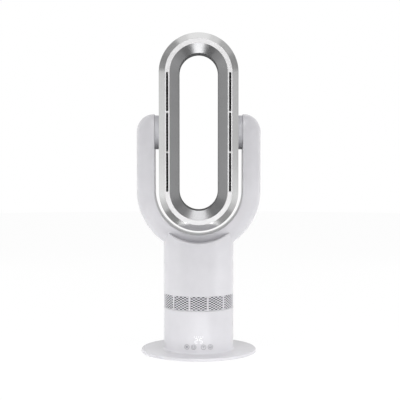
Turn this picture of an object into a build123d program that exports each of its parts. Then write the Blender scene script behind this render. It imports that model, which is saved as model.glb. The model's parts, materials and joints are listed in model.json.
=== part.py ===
from build123d import *
import math
import os

# Tower fan heater: a round stand, a turning column with a fan in it, a fork with two
# hollow pivots, and a tilting air loop with a heater behind each of its two slots.
# Millimetres. Z is up, the front faces -Y, and the origin is on the floor under the column.

# Overall
overall_height = 800.0

# Clearances
running_clearance = 0.08
seat_gap = 0.3
part_gap = 0.1
screw_clearance = 0.1

# Stand disc
disc_radius = 145.0
disc_wall = 2.2
disc_rim_width = 3.0
disc_edge_round = 2.4
foot_height = 1.6
foot_radius = 9.0
foot_circle = 122.0
foot_count = 6
weight_thickness = 4.2
weight_inner_radius = 60.0
rim_lift = 1.0
locating_ring_width = 3.0
locating_ring_height = 4.0

# Column
column_radius = 88.0
shell_wall = 2.5
seam_height = 113.0
seam_gap = 0.6
grille_top = 151.0

# Screws, as shank and head
screw_radius = 1.9
screw_head_radius = 3.8
screw_head_height = 2.6
head_room = 0.4
small_screw_radius = 1.2
small_head_radius = 2.2
small_head_height = 1.4
small_screw_length = 10.0
boss_wall = 2.5

# Fixing places of the stand
shell_screw_circle = 79.0
shell_screw_angles = (45, 135, 225, 315)
shell_boss_height = 22.0
deck_post_circle = 80.5
deck_post_angles = (15, 165, 195, 345)
deck_post_radius = 5.2

# Turning gear of the column
gear_module = 1.5
ring_teeth = 60
pinion_teeth = 15
gear_backlash = 0.22
gear_addendum = 0.9
gear_dedendum = 1.25
pressure_angle = 20.0
gear_thickness = 4.0
gear_inner_radius = 34.0
swivel_limit = 40.0
deck_low = 100.0
deck_thickness = 3.0
gear_space = 5.0
turntable_thickness = 3.0
turntable_edge_gap = 1.0
turntable_rim_width = 4.5
hub_inner_radius = 20.0
hub_outer_radius = 24.0
retainer_outer_radius = 29.0
retainer_thickness = 3.0
bearing_inner_radius = 70.5
bearing_outer_radius = 75.5
stop_inner_radius = 60.0
stop_outer_radius = 67.0
stop_lug_half_angle = 4.0
stop_block_angle = 6.0
stop_play_angle = 0.6
swing_motor_radius = 25.0
swing_motor_height = 16.0
swing_plate_thickness = 2.0
swing_ear_length = 34.0
swing_ear_width = 12.0
output_shaft_radius = 3.5
output_shaft_depth = 9.0
deck_shaft_hole_radius = 6.0

# Keys on the front
key_radius = 6.5
key_hole_clearance = 0.25
key_height = 25.0
key_places = (-28.9, -12.1, 12.1, 28.9)
key_flange_radius = 7.9
key_flange_thickness = 1.2
key_guide_wall = 1.6
key_guide_back = -77.2
key_stem_radius = 1.6
key_stem_length = 2.4
switch_size = 6.0
switch_thickness = 3.5
switch_bore_depth = 2.9

# Display board and what it carries
board_thickness = 1.6
board_front = -70.8
board_half_width = 40.0
board_low = 12.0
board_high = 60.0
rail_width = 5.0
rail_lip = 1.4
window_wall = 1.0
window_half_width = 17.0
window_low = 32.5
window_high = 54.0
digit_height = 12.2
digit_width = 8.0
digit_pitch = 11.3
digit_centre_height = 41.0
segment_width = 1.7
lightbox_border = 2.0
lightbox_front = -85.6
lightbox_back = 1.0
indicator_count = 5
indicator_pitch = 5.2
indicator_height = 50.6
indicator_radius = 1.0

# Power board
power_board_size = (86.0, 72.0)
power_board_centre_y = -12.0
power_board_height = 30.0
standoff_radius = 3.6
standoff_inset = 5.0

# Cord inlet at the back
gland_height = 26.0
gland_bore_radius = 3.75
gland_neck_radius = 8.0
gland_flange_radius = 10.5
gland_flange_thickness = 2.5
gland_pad_radius = 12.5
gland_pad_face = 89.0
gland_pad_depth = 7.0
gland_nut_thickness = 3.4
clamp_width = 26.0
clamp_length = 9.0
clamp_place = 56.0
clamp_cap_height = 7.0
cord_channel_radius = 4.1

# Air intake band
intake_panels = 12
intake_rib_width = 3.0
intake_edge = 1.4
intake_plate_recess = 0.5
intake_plate_thickness = 1.0
intake_columns = 4
intake_rows = 6
intake_hole_width = 6.4
intake_hole_height = 2.9
intake_flange_width = 6.0
post_circle = 74.0
post_radius = 4.5
post_angles = (45, 135, 225, 315)

# Fan
inlet_ring_thickness = 2.5
inlet_radius = 45.8
inlet_lip_width = 3.2
inlet_lip_depth = 5.5
impeller_low = 160.0
impeller_high = 196.0
impeller_eye_hub = 16.0
impeller_back_hub = 36.0
impeller_eye_tip = 45.0
impeller_back_tip = 60.0
impeller_rim_height = 2.0
blade_count = 9
blade_thickness = 1.8
blade_curve_radius = 50.0
blade_root_depth = 3.0
fan_tip_gap = 0.8
shroud_wall = 2.2
shroud_flange_radius = 80.0
shroud_flange_thickness = 2.5
motor_shaft_radius = 3.0
nut_radius = 6.0
nut_height = 5.0
bucket_radius = 36.0
bucket_wall = 2.6
bucket_low = 198.0
bucket_high = 240.0
bucket_floor = 2.0
diffuser_outer_radius = 64.5
diffuser_wall = 2.4
diffuser_height = 38.0
vane_count = 9
vane_thickness = 2.0
fan_motor_radius = 32.0
fan_motor_height = 34.0
air_seal_low = 216.0
air_seal_height = 8.0

# Fork
fork_gap = 10.85
fork_side_wall = 5.0
fork_bulge = 41.4
fork_half_depth = 45.6
fork_edge_chamfer = 1.5
fork_wall = 2.5
fork_air_half_width = 58.0
fork_air_half_depth = 36.0
saddle_radius = 127.0
saddle_edge_round = 2.5
bracket_low = 243.0
bracket_thickness = 3.0
bracket_boss_height = 13.0
bracket_boss_angles = (45, 135, 225, 315)
cradle_half_spacing = 69.0
cradle_width = 14.0
cradle_place = 22.0
cradle_depth = 14.0
fork_screw_top = 290.0
fork_screw_end = 286.0
bracket_boss_radius = 5.0
bracket_boss_inset = 3.0
bucket_round = 6.0
motor_edge = 3.0
shaft_end_gap = 4.0
shaft_bore_gap = 3.0
gland_edge = 0.8
# Tall components on the power board: left, right, front and rear from its middle, and height
component_blocks = (
    (-36.0, -17.0, -14.0, 12.0, 16.0),
    (-12.0, 0.0, -26.0, -8.0, 15.0),
    (4.0, 16.0, -26.0, -8.0, 15.0),
    (20.0, 36.0, 6.0, 10.0, 24.0),
    (-16.0, 14.0, 18.0, 30.0, 12.0),
    (-6.0, 12.0, -4.0, 2.0, 13.0),
)
capacitor_radius = 6.0
capacitor_height = 20.0
capacitor_places = ((27.0, -10.0), (-26.0, 21.0))
loop_screw_length = 12.0
fork_joint_straight_rise = 73.0
fork_joint_angle = 45.0
fork_joint_seat = 20.0
fork_joint_reach = 18.0

# Air loop, radii from its centre line
loop_low_centre = 407.0
loop_outer_radius = 98.75
loop_hole_radius = 49.0
inner_bevel_radius = 71.8
outer_bevel_radius = 83.4
loop_half_depth = 52.0
inner_bevel_depth = 17.0
outer_bevel_depth = 8.5
loop_wall = 2.5
trim_thickness = 2.2
bezel_lip = 0.7
rear_outer_round = 10.0
rear_inner_round = 8.0
slot_width = 4.3
slot_centre = 77.75
slot_bridge = 3.6
slot_rib_width = 1.0
slot_rib_depth = 6.0
loop_screw_radius_line = 77.6
loop_screw_angles = (20, 65, 115, 160)
loop_screw_seat = -34.0
loop_screw_floor = 4.0

# Outlet nozzle and heater in each side of the loop
nozzle_depth = 13.8
nozzle_wall = 1.6
nozzle_inlet = (60.0, 90.0)
nozzle_overrun = 6.0
heater_half_length = 135.0
heater_thickness = 12.0
heater_span = (61.0, 89.0)
heater_frame_wall = 3.0
heater_bar_width = 4.0
heater_fin_pitch = 8.0
heater_fin_thickness = 0.8
cutout_radius = 8.0
cutout_height = 5.0

# Pivots between fork and loop
tilt_limit = 45.0
cuff_radius = 42.5
cuff_gap = 0.4
neck_radius = 38.0
journal_radius = 34.0
duct_radius = 30.5
bush_radius = 37.0
bush_length = 11.8
bush_flange_radius = 41.0
bush_flange_thickness = 2.5
pivot_retainer_thickness = 3.0
friction_thickness = 0.8
pivot_lug_radius = 40.0
pivot_lug_half_angle = 6.0
pivot_rim_inner = 37.6
pivot_rim_outer = 40.4
clamp_ring_radius = 42.0
clamp_ring_thickness = 3.75

# Levels and radii that follow
weight_top = foot_height + weight_thickness
disc_top = weight_top + disc_wall
shell_inner = column_radius - shell_wall
shell_top = seam_height - seam_gap / 2
head_low = seam_height + seam_gap / 2
deck_top = deck_low + deck_thickness
turntable_low = deck_top + gear_space
turntable_top = turntable_low + turntable_thickness
turntable_radius = shell_inner - turntable_edge_gap
ring_pitch_radius = gear_module * ring_teeth / 2
pinion_pitch_radius = gear_module * pinion_teeth / 2
pinion_distance = ring_pitch_radius + pinion_pitch_radius
key_guide_front = -column_radius
key_flange_front = key_guide_back + seat_gap
key_flange_back = key_flange_front + key_flange_thickness
inner_fit_radius = shell_inner - part_gap
inlet_top = grille_top + inlet_ring_thickness
loop_top_centre = overall_height - loop_outer_radius
pivot_height = (loop_low_centre + loop_top_centre) / 2
loop_straight = loop_top_centre - loop_low_centre
fork_inner = loop_outer_radius + fork_gap
fork_mid = fork_inner + (fork_side_wall + fork_bulge) / 2
loop_front = -loop_half_depth
trim_back = loop_front + trim_thickness
outer_split = loop_front + outer_bevel_depth + bezel_lip
nozzle_back = trim_back + nozzle_depth
bush_start = fork_inner + part_gap
bush_end = bush_start + bush_length
journal_end = bush_end + friction_thickness + part_gap
loop_screw_boss_radius = screw_head_radius + head_room + boss_wall


def block(x_range, y_range, z_range):
    size = [high - low for low, high in (x_range, y_range, z_range)]
    box = Box(*size, align=(Align.MIN, Align.MIN, Align.MIN))
    return Pos(x_range[0], y_range[0], z_range[0]) * box


def post(radius, low, high, x=0.0, y=0.0):
    shape = Cylinder(radius, high - low, align=(Align.CENTER, Align.CENTER, Align.MIN))
    return Pos(x, y, low) * shape


def tube(inner, outer, low, high, x=0.0, y=0.0):
    return post(outer, low, high, x, y) - post(inner, low, high, x, y)


def post_y(radius, front, back, x, z):
    shape = Cylinder(radius, back - front, align=(Align.CENTER, Align.CENTER, Align.MIN))
    return Pos(x, front, z) * Rot(-90, 0, 0) * shape


def post_x(radius, start, end):
    shape = Cylinder(radius, end - start, align=(Align.CENTER, Align.CENTER, Align.MIN))
    return Pos(start, 0, pivot_height) * Rot(0, 90, 0) * shape


def tube_x(inner, outer, start, end):
    return post_x(outer, start, end) - post_x(inner, start, end)


def on_circle(radius, angle):
    turn = math.radians(angle)
    return radius * math.cos(turn), radius * math.sin(turn)


def flat_face(points):
    return make_face(Polyline(*points, close=True))


def wedge(radius, start_angle, end_angle, low, high):
    # A pie slice about Z, with its arc outside the given radius.
    reach = radius / math.cos(math.radians(end_angle - start_angle) / 2)
    first = on_circle(reach, start_angle)
    last = on_circle(reach, end_angle)
    slice_face = flat_face([(0, 0), first, last])
    return Pos(0, 0, low) * extrude(slice_face, amount=high - low, dir=(0, 0, 1))


def turned(points):
    # A solid turned about Z from a section given as radius and height.
    section = make_face(Polyline(*[(r, 0, z) for r, z in points], close=True))
    return revolve(section, axis=Axis.Z, revolution_arc=360)


def both_sides(shape):
    return [shape, mirror(shape, about=Plane.YZ)]


def gear(teeth, low, high, turn):
    # Involute flanks drawn through root, base, pitch and tip radii.
    pitch = gear_module * teeth / 2
    base = pitch * math.cos(math.radians(pressure_angle))
    root = pitch - gear_dedendum * gear_module
    tip = pitch + gear_addendum * gear_module
    start = max(base, root)
    radii = [start, (start + pitch) / 2, pitch, (pitch + tip) / 2, tip]
    if root < start:
        radii.insert(0, root)

    def involute(radius):
        angle = math.acos(min(1.0, base / radius))
        return math.tan(angle) - angle

    half_tooth = (math.pi * gear_module / 2 - gear_backlash / 2) / (2 * pitch)
    flank = [(r, half_tooth + involute(pitch) - involute(max(r, base))) for r in radii]
    points = []
    for tooth in range(teeth):
        centre = math.radians(turn + 360 * tooth / teeth)
        for radius, half in flank:
            points.append(on_circle(radius, math.degrees(centre - half)))
        for radius, half in reversed(flank):
            points.append(on_circle(radius, math.degrees(centre + half)))
    return Pos(0, 0, low) * extrude(flat_face(points), amount=high - low, dir=(0, 0, 1))


def around_loop(section):
    # Carries a section, drawn as radius and depth, once round the racetrack.
    low = Pos(0, 0, loop_low_centre) * section
    high = Pos(0, 0, loop_top_centre) * section
    side = extrude(low, amount=loop_straight, dir=(0, 0, 1))
    low_turn = revolve(low, axis=Axis((0, 0, loop_low_centre), (0, 1, 0)), revolution_arc=180)
    high_turn = revolve(high, axis=Axis((0, 0, loop_top_centre), (0, -1, 0)), revolution_arc=180)
    return low_turn + high_turn + both_sides(side)


def loop_place(side, angle):
    # A place on the screw line: below the low centre or above the top centre.
    x, rise = on_circle(loop_screw_radius_line, angle)
    if side < 0:
        return x, loop_low_centre - rise
    return x, loop_top_centre + rise


def loop_screw_places():
    return [loop_place(side, angle) for side in (-1, 1) for angle in loop_screw_angles]


def fork_section(inset, chamfer):
    # Flat inner side, short straight shoulders and half an ellipse outside.
    inner = fork_inner + inset
    shoulder = fork_inner + fork_side_wall
    depth = fork_half_depth - inset
    reach = shoulder + fork_bulge
    lobe = Pos(shoulder, 0) * Ellipse(fork_bulge - inset, depth)
    keep = Pos((shoulder + reach) / 2 + 1, 0) * Rectangle(reach - shoulder + 2, 4 * depth)
    outline = [(inner, -depth), (shoulder, -depth), (shoulder, depth), (inner, depth)]
    if chamfer > 0:
        corner = depth - chamfer
        outline = [
            (inner, -corner), (inner + chamfer, -depth), (shoulder, -depth),
            (shoulder, depth), (inner + chamfer, depth), (inner, corner),
        ]
    return (lobe & keep) + flat_face(outline)


def fork_envelope(inset, chamfer=0.0):
    # The U of the fork: half a turn below, two arms, and a dome at each pivot.
    section = fork_section(inset, chamfer)
    low = Pos(0, 0, loop_low_centre) * section
    bend = revolve(low, axis=Axis((0, 0, loop_low_centre), (0, 1, 0)), revolution_arc=180)
    arm = extrude(low, amount=pivot_height - loop_low_centre, dir=(0, 0, 1))
    upper_half = Pos(0, fork_half_depth) * Rectangle(6 * fork_inner, 2 * fork_half_depth)
    half = Pos(0, 0, pivot_height) * (section & upper_half)
    dome = revolve(half, axis=Axis((0, 0, pivot_height), (1, 0, 0)), revolution_arc=360)
    return bend + both_sides(arm + dome)


def fork_joint_places():
    along = fork_mid * math.cos(math.radians(fork_joint_angle))
    places = [(fork_mid, loop_low_centre + fork_joint_straight_rise)]
    places.append((along, loop_low_centre - along))
    return [(sign * x, z) for x, z in places for sign in (-1, 1)]


def fork_screw_places():
    spots = (-cradle_half_spacing, cradle_half_spacing)
    return [(x, y) for x in spots for y in (-cradle_place, cradle_place)]


def base_disc():
    disc = post(disc_radius, rim_lift, disc_top)
    disc = fillet(disc.edges().group_by(Axis.Z)[-1], disc_edge_round)
    disc -= post(disc_radius - disc_rim_width, 0, weight_top)
    ring_outer = shell_inner - part_gap
    disc += tube(ring_outer - locating_ring_width, ring_outer, disc_top, disc_top + locating_ring_height)
    for angle in shell_screw_angles:
        x, y = on_circle(shell_screw_circle, angle)
        boss_radius = screw_radius + boss_wall + part_gap
        disc -= post(boss_radius, disc_top, disc_top + locating_ring_height, x, y)
        disc -= post(screw_radius + screw_clearance, 0, disc_top, x, y)
        rib_room = Box(2 * boss_radius, boss_wall + 2 * part_gap, locating_ring_height,
                       align=(Align.MIN, Align.CENTER, Align.MIN))
        disc -= Pos(x, y, disc_top) * Rot(0, 0, angle) * rib_room
    for angle in deck_post_angles:
        x, y = on_circle(deck_post_circle, angle)
        disc -= post(deck_post_radius + part_gap, disc_top, disc_top + locating_ring_height, x, y)
    for x in (-board_half_width, board_half_width):
        room = rail_width
        disc -= block((x - room, x + room), (-column_radius, board_front + 8),
                      (disc_top, disc_top + locating_ring_height))
    for x, y in standoff_places():
        disc += post(standoff_radius, disc_top, power_board_height, x, y)
        disc -= post(small_screw_radius + screw_clearance, disc_top + 4, power_board_height, x, y)
    half = clamp_width / 2
    saddle = block((-half, half), (clamp_place, clamp_place + clamp_length), (disc_top, gland_height))
    saddle -= post_y(cord_channel_radius, clamp_place - 1, clamp_place + clamp_length + 1, 0, gland_height)
    return disc + saddle


def base_weight():
    weight = tube(weight_inner_radius, disc_radius - disc_rim_width - seat_gap, foot_height, weight_top)
    for angle in shell_screw_angles:
        x, y = on_circle(shell_screw_circle, angle)
        weight -= post(screw_head_radius + 1, foot_height, weight_top, x, y)
    return weight


def rubber_feet():
    feet = []
    for index in range(foot_count):
        x, y = on_circle(foot_circle, 360 * (index + 0.5) / foot_count)
        pad = post(foot_radius, 0, foot_height, x, y)
        feet.append(chamfer(pad.edges().group_by(Axis.Z)[0], foot_height / 4))
    return Compound(children=feet)


def screw(radius, head_radius, head_height, length):
    # Head below the origin, shank up along Z.
    return post(radius, 0, length) + post(head_radius, -head_height, 0)


def base_screws():
    screws = []
    for angle in shell_screw_angles:
        x, y = on_circle(shell_screw_circle, angle)
        length = disc_wall + shell_boss_height - 4
        fixing = screw(screw_radius, screw_head_radius, screw_head_height, length)
        screws.append(Pos(x, y, weight_top) * fixing)
    return Compound(children=screws)


def key_cylinder(x, radius, front, back):
    return post_y(radius, front, back, x, key_height)


def gland_pad():
    front = gland_pad_face - gland_pad_depth
    return post_y(gland_pad_radius, front, gland_pad_face, 0, gland_height)


def lower_shell():
    shell = tube(shell_inner, column_radius, disc_top, shell_top)
    inside = post(column_radius - shell_wall / 2, disc_top, shell_top)
    for angle in shell_screw_angles:
        x, y = on_circle(shell_screw_circle, angle)
        shell += post(screw_radius + boss_wall, disc_top, disc_top + shell_boss_height, x, y)
        wx, wy = on_circle(column_radius - shell_wall / 2, angle)
        rib = Pos((x + wx) / 2, (y + wy) / 2, 0) * Rot(0, 0, angle)
        length = column_radius - shell_screw_circle
        plate = Box(length, boss_wall, shell_boss_height, align=(Align.CENTER, Align.CENTER, Align.MIN))
        shell += (rib * Pos(0, 0, disc_top) * plate) & inside
        shell -= post(screw_radius + screw_clearance, 0, disc_top + shell_boss_height - 2, x, y)
    for angle in deck_post_angles:
        x, y = on_circle(deck_post_circle, angle)
        shell += post(deck_post_radius, disc_top, deck_low, x, y) & inside
        shell -= post(small_screw_radius + screw_clearance, deck_low - 12, deck_low, x, y)
    for x in key_places:
        guide_radius = key_radius + key_hole_clearance + key_guide_wall
        shell += key_cylinder(x, guide_radius, key_guide_front, key_guide_back) & inside
    for x in key_places:
        shell -= key_cylinder(x, key_radius + key_hole_clearance, key_guide_front - 1, key_guide_back + 1)
    window = post(column_radius - window_wall, window_low, window_high)
    shell -= window & block((-window_half_width, window_half_width), (-column_radius, key_guide_back),
                            (window_low, window_high))
    for side in (-1, 1):
        inner = side * (board_half_width - rail_lip)
        outer = side * (board_half_width - rail_lip + rail_width)
        span = (min(inner, outer), max(inner, outer))
        rail_back = board_front + board_thickness + rail_lip
        rail = block(span, (-column_radius, rail_back), (disc_top, board_high))
        shell += rail & inside
    groove = board_half_width + part_gap
    shell -= block((-groove, groove), (board_front - part_gap, board_front + board_thickness + part_gap),
                   (board_low - part_gap, board_high + 1))
    shell += gland_pad() - post(shell_inner, 0, seam_height)
    shell -= post_y(gland_neck_radius + part_gap, shell_inner - 12, gland_pad_face, 0, gland_height)
    return shell


def standoff_places():
    half_x = power_board_size[0] / 2 - standoff_inset
    half_y = power_board_size[1] / 2 - standoff_inset
    return [(sx * half_x, power_board_centre_y + sy * half_y) for sx in (-1, 1) for sy in (-1, 1)]


def power_board():
    half_x = power_board_size[0] / 2
    half_y = power_board_size[1] / 2
    board = block((-half_x, half_x), (power_board_centre_y - half_y, power_board_centre_y + half_y),
                  (power_board_height, power_board_height + board_thickness))
    for x, y in standoff_places():
        board -= post(small_screw_radius + screw_clearance, power_board_height, 40, x, y)
    return board


def board_components():
    floor = power_board_height + board_thickness
    middle = power_board_centre_y
    blocks = []
    for left, right, near, far, height in component_blocks:
        blocks.append(block((left, right), (middle + near, middle + far), (floor, floor + height)))
    for x, offset in capacitor_places:
        blocks.append(post(capacitor_radius, floor, floor + capacitor_height, x, middle + offset))
    return Compound(children=blocks)


def display_board():
    return block((-board_half_width, board_half_width), (board_front, board_front + board_thickness),
                 (board_low, board_high))


def key_switches():
    switches = []
    half = switch_size / 2
    back = board_front
    for x in key_places:
        body = block((x - half, x + half), (back - switch_thickness, back),
                     (key_height - half, key_height + half))
        body -= key_cylinder(x, key_stem_radius + seat_gap, back - switch_thickness,
                             back - switch_thickness + switch_bore_depth)
        switches.append(body)
    return Compound(children=switches)


def segment_bars(growth):
    # Seven bars for each of two digits, as centre x, centre z, width and height.
    half_width = digit_width / 2 - segment_width / 2
    half_height = digit_height / 2 - segment_width / 2
    long_bar = half_height - segment_width
    wide_bar = 2 * half_width - segment_width
    bars = []
    for digit_x in (-digit_pitch / 2, digit_pitch / 2):
        for level in (-half_height, 0, half_height):
            bars.append((digit_x, digit_centre_height + level, wide_bar + growth, segment_width + growth))
        for side in (-half_width, half_width):
            for level in (-half_height / 2, half_height / 2):
                place = digit_centre_height + level
                bars.append((digit_x + side, place, segment_width + growth, long_bar + growth))
    return bars


def bar_solids(growth):
    back = board_front - lightbox_back
    return [
        block((x - w / 2, x + w / 2), (lightbox_front, back), (z - h / 2, z + h / 2))
        for x, z, w, h in segment_bars(growth)
    ]


def digit_lightbox():
    half_x = digit_pitch / 2 + digit_width / 2 + lightbox_border
    half_z = digit_height / 2 + lightbox_border
    box = block((-half_x, half_x), (lightbox_front, board_front),
                (digit_centre_height - half_z, digit_centre_height + half_z))
    return box - bar_solids(2 * part_gap)


def digit_segments():
    return Compound(children=bar_solids(0))


def indicator_lights():
    pipes = []
    for index in range(indicator_count):
        x = (index - (indicator_count - 1) / 2) * indicator_pitch
        pipes.append(post_y(indicator_radius, lightbox_front, board_front, x, indicator_height))
    return Compound(children=pipes)


def key(x):
    cap = key_cylinder(x, key_radius, -column_radius, key_flange_back) & post(column_radius, 0, seam_height)
    cap += key_cylinder(x, key_flange_radius, key_flange_front, key_flange_back)
    cap += key_cylinder(x, key_stem_radius, key_flange_back, key_flange_back + key_stem_length)
    return cap


def cord_gland():
    back = gland_pad_face - gland_pad_depth - gland_nut_thickness
    gland = post_y(gland_neck_radius, back, gland_pad_face, 0, gland_height)
    flange_end = gland_pad_face + gland_flange_thickness
    flange = post_y(gland_flange_radius, gland_pad_face, flange_end, 0, gland_height)
    flange = chamfer(flange.edges().group_by(Axis.Y)[-1], gland_edge)
    gland += flange
    return gland - post_y(gland_bore_radius, back, gland_pad_face + gland_flange_thickness, 0, gland_height)


def gland_nut():
    front = gland_pad_face - gland_pad_depth - gland_nut_thickness
    across = gland_flange_radius + 1
    nut = extrude(RegularPolygon(across, 6), amount=gland_nut_thickness)
    nut = Pos(0, front, gland_height) * Rot(-90, 0, 0) * nut
    return nut - post_y(gland_neck_radius + part_gap, front, gland_pad_face, 0, gland_height)


def cord_clamp():
    half = clamp_width / 2
    cap = block((-half, half), (clamp_place, clamp_place + clamp_length),
                (gland_height, gland_height + clamp_cap_height))
    cap -= post_y(cord_channel_radius, clamp_place, clamp_place + clamp_length, 0, gland_height)
    return cap


def bearing_deck():
    deck = post(inner_fit_radius, deck_low, deck_top)
    deck -= post(hub_outer_radius + running_clearance, deck_low, deck_top)
    deck -= post(deck_shaft_hole_radius, deck_low, deck_top, 0, pinion_distance)
    for angle in deck_post_angles:
        x, y = on_circle(deck_post_circle, angle)
        deck -= post(small_screw_radius + screw_clearance, deck_low, deck_top, x, y)
    block_height = turntable_low - seat_gap
    ring = tube(stop_inner_radius, stop_outer_radius, deck_top, block_height)
    start = swivel_limit + stop_lug_half_angle + stop_play_angle
    finish = start + stop_block_angle
    for near, far in ((270 + start, 270 + finish), (270 - finish, 270 - start)):
        deck += ring & wedge(stop_outer_radius, near, far, deck_top, block_height)
    return deck


def small_screws():
    # Four hold the deck on its posts, and four hold the power board.
    upright = screw(small_screw_radius, small_head_radius, small_head_height, small_screw_length)
    fixing = Rot(180, 0, 0) * upright
    screws = []
    for angle in deck_post_angles:
        x, y = on_circle(deck_post_circle, angle)
        screws.append(Pos(x, y, deck_top) * fixing)
    for x, y in standoff_places():
        screws.append(Pos(x, y, power_board_height + board_thickness) * fixing)
    return Compound(children=screws)


def bearing_ring():
    return tube(bearing_inner_radius, bearing_outer_radius, deck_top, turntable_low - seat_gap)


def swing_motor():
    plate_low = deck_low - swing_plate_thickness
    motor = post(swing_motor_radius, plate_low - swing_motor_height, plate_low)
    ears = block((-swing_ear_length, swing_ear_length), (-swing_ear_width / 2, swing_ear_width / 2),
                 (plate_low, deck_low))
    motor += ears
    motor -= post(output_shaft_radius + running_clearance, deck_low - output_shaft_depth, deck_low)
    return Pos(0, pinion_distance, 0) * motor


def output_shaft():
    return post(output_shaft_radius, deck_low - output_shaft_depth + seat_gap, turntable_low - 2 * seat_gap,
                0, pinion_distance)


def drive_pinion():
    high = turntable_low - seat_gap
    pinion = gear(pinion_teeth, high - gear_thickness, high, 270 + 180 / pinion_teeth)
    pinion -= post(output_shaft_radius, 0, seam_height)
    return Pos(0, pinion_distance, 0) * pinion


def turntable():
    table = post(turntable_radius, turntable_low, turntable_top)
    table += tube(turntable_radius - turntable_rim_width, turntable_radius, turntable_low, head_low)
    table += post(hub_outer_radius, deck_low - seat_gap, turntable_low)
    lug_ring = tube(stop_inner_radius, stop_outer_radius, deck_top + seat_gap, turntable_low)
    table += lug_ring & wedge(stop_outer_radius, 270 - stop_lug_half_angle, 270 + stop_lug_half_angle,
                              deck_top, turntable_low)
    return table - post(hub_inner_radius, 0, seam_height)


def ring_gear():
    low = turntable_low - gear_thickness
    return gear(ring_teeth, low, turntable_low, 90) - post(gear_inner_radius, 0, seam_height)


def hub_retainer():
    high = deck_low - seat_gap
    return tube(hub_inner_radius, retainer_outer_radius, high - retainer_thickness, high)


def intake_grille():
    step = 360 / intake_panels
    outer = column_radius - intake_plate_recess
    inner = outer - intake_plate_thickness
    panel = tube(inner, outer, head_low, grille_top)
    panel &= wedge(column_radius, -step / 2, step / 2, head_low, grille_top)
    rib_angle = math.degrees(intake_rib_width / column_radius)
    hole_step = (step - rib_angle) / intake_columns
    row_step = (grille_top - head_low - 2 * intake_edge) / intake_rows
    holes = []
    for row in range(intake_rows):
        shift = 0.25 if row % 2 else -0.25
        height = head_low + intake_edge + (row + 0.5) * row_step
        for column in range(intake_columns):
            angle = (column + 0.5 + shift - intake_columns / 2) * hole_step
            hole = Box(3 * shell_wall, intake_hole_width, intake_hole_height)
            holes.append(Rot(0, 0, angle) * Pos(inner, 0, height) * hole)
    panel -= holes
    rib = tube(shell_inner, column_radius, head_low, grille_top)
    rib &= wedge(column_radius, step / 2 - rib_angle / 2, step / 2 + rib_angle / 2, head_low, grille_top)
    band = panel + rib
    band = Compound(children=[Rot(0, 0, step * (index - 3)) * band for index in range(intake_panels)])
    flange_inner = shell_inner - intake_flange_width
    low_ring = tube(flange_inner, column_radius, head_low, head_low + intake_edge)
    high_ring = tube(flange_inner, column_radius, grille_top - intake_edge, grille_top)
    return low_ring + high_ring + band.solids()


def frame_posts():
    posts = []
    for angle in post_angles:
        x, y = on_circle(post_circle, angle)
        posts.append(post(post_radius, turntable_top, grille_top, x, y))
    return Compound(children=posts)


def inlet_ring():
    lip = turned([
        (inlet_radius, grille_top), (inlet_radius + inlet_lip_width, grille_top - inlet_lip_depth),
        (inlet_radius + 2 * inlet_lip_width, grille_top - inlet_lip_depth),
        (inlet_radius + inlet_lip_width, grille_top),
    ])
    return tube(inlet_radius, inner_fit_radius, grille_top, inlet_top) + lip


def impeller_shroud():
    flare = (impeller_back_tip - impeller_eye_tip) / (impeller_high - impeller_low)
    eye = impeller_eye_tip + fan_tip_gap
    back = impeller_back_tip + fan_tip_gap + flare * (bucket_low - impeller_high)
    return turned([
        (eye, inlet_top), (shroud_flange_radius, inlet_top),
        (shroud_flange_radius, inlet_top + shroud_flange_thickness),
        (eye + shroud_wall, inlet_top + shroud_flange_thickness), (eye + shroud_wall, impeller_low),
        (back + shroud_wall, bucket_low), (back, bucket_low), (eye, impeller_low),
    ])


def impeller():
    hub = turned([
        (motor_shaft_radius, impeller_low), (impeller_eye_hub, impeller_low),
        (impeller_back_hub, impeller_high - impeller_rim_height), (impeller_back_hub, impeller_high),
        (motor_shaft_radius, impeller_high),
    ])
    zone = turned([
        (impeller_eye_hub - blade_root_depth, impeller_low),
        (impeller_eye_tip, impeller_low),
        (impeller_back_tip, impeller_high),
        (impeller_back_hub - blade_root_depth, impeller_high),
    ])
    strip = tube(blade_curve_radius - blade_thickness / 2, blade_curve_radius + blade_thickness / 2,
                 impeller_low, impeller_high, blade_curve_radius, 0)
    strip &= block((0, column_radius), (0, column_radius), (impeller_low, impeller_high))
    blade = strip & zone
    return hub + [Rot(0, 0, 360 * index / blade_count) * blade for index in range(blade_count)]


def motor_shaft():
    top = bucket_low + bucket_floor + fan_motor_height - shaft_end_gap
    return post(motor_shaft_radius, impeller_low - nut_height, top)


def impeller_nut():
    nut = extrude(RegularPolygon(nut_radius, 6), amount=nut_height - 1)
    return Pos(0, 0, impeller_low - nut_height + 1) * nut - post(motor_shaft_radius, 0, impeller_low)


def motor_bucket():
    bucket = post(bucket_radius, bucket_low, bucket_high)
    bucket = fillet(bucket.edges().group_by(Axis.Z)[-1], bucket_round)
    inner = bucket_radius - bucket_wall
    bucket -= post(inner, bucket_low + bucket_floor, bucket_high - bucket_wall)
    bucket -= post(motor_shaft_radius + 2, 0, bucket_low + bucket_floor)
    ring_inner = diffuser_outer_radius - diffuser_wall
    bucket += tube(ring_inner, diffuser_outer_radius, bucket_low, bucket_low + diffuser_height)
    reach = ring_inner + diffuser_wall / 2
    vane = block((bucket_radius - bucket_wall / 2, reach), (-vane_thickness / 2, vane_thickness / 2),
                 (bucket_low + 6, bucket_low + diffuser_height - 8))
    return bucket + [Rot(0, 0, 360 * index / vane_count) * vane for index in range(vane_count)]


def fan_motor():
    low = bucket_low + bucket_floor
    motor = post(fan_motor_radius, low, low + fan_motor_height)
    motor = chamfer(motor.edges().group_by(Axis.Z)[-1], motor_edge)
    return motor - post(motor_shaft_radius + running_clearance, low, low + fan_motor_height - shaft_bore_gap)


def air_seal():
    top = air_seal_low + air_seal_height
    return tube(diffuser_outer_radius + part_gap, inner_fit_radius, air_seal_low, top)


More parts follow.
